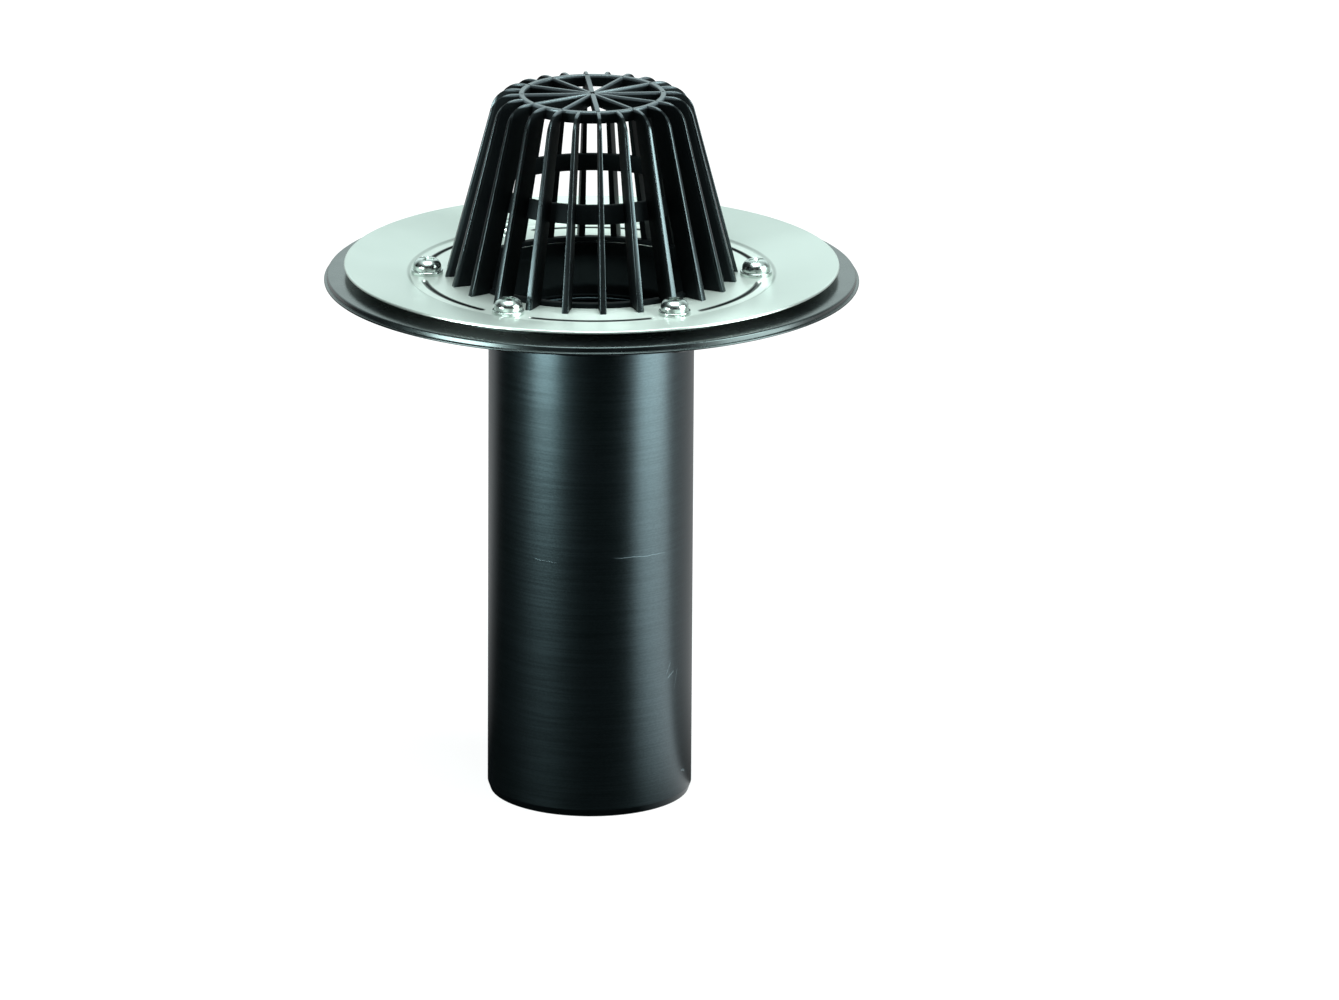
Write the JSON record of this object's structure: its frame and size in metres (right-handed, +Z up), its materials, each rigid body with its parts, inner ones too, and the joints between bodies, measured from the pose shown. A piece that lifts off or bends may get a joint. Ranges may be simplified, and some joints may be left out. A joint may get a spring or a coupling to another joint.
{
  "type": "flat roof drain",
  "caption": "Flat roof drain: flanged plastic sump with welded outlet pipe, screwed stainless clamping ring for the membrane, and a finned leaf guard.",
  "frame": {"origin": "bottom centre of the outlet pipe, on the drain's axis, in the plane of the pipe's free end", "axes": "+Z up along the drain's axis, from the pipe's free end towards the leaf guard; -Y is the side that faces the viewer; +X and -X each pass through a clamping screw"},
  "size_m": [0.2856, 0.2856, 0.3875],
  "materials": {
    "body_plastic": "satin, injection moulded",
    "pipe_plastic": "satin, extruded",
    "guard_plastic": "satin, injection moulded",
    "ring_steel": "bright rolled stainless sheet",
    "screw_steel": "bright stainless",
    "insert_brass": "turned"
  },
  "bodies": {
    "root": {"drain_body": "body_plastic", "outlet_pipe": "pipe_plastic", "clamping_ring": "ring_steel", "leaf_guard": "guard_plastic", "screw_1": "screw_steel", "screw_2": "screw_steel", "screw_3": "screw_steel", "screw_4": "screw_steel", "screw_5": "screw_steel", "screw_6": "screw_steel", "washer_1": "screw_steel", "washer_2": "screw_steel", "washer_3": "screw_steel", "washer_4": "screw_steel", "washer_5": "screw_steel", "washer_6": "screw_steel", "insert_1": "insert_brass", "insert_2": "insert_brass", "insert_3": "insert_brass", "insert_4": "insert_brass", "insert_5": "insert_brass", "insert_6": "insert_brass"}
  },
  "joints": []
}
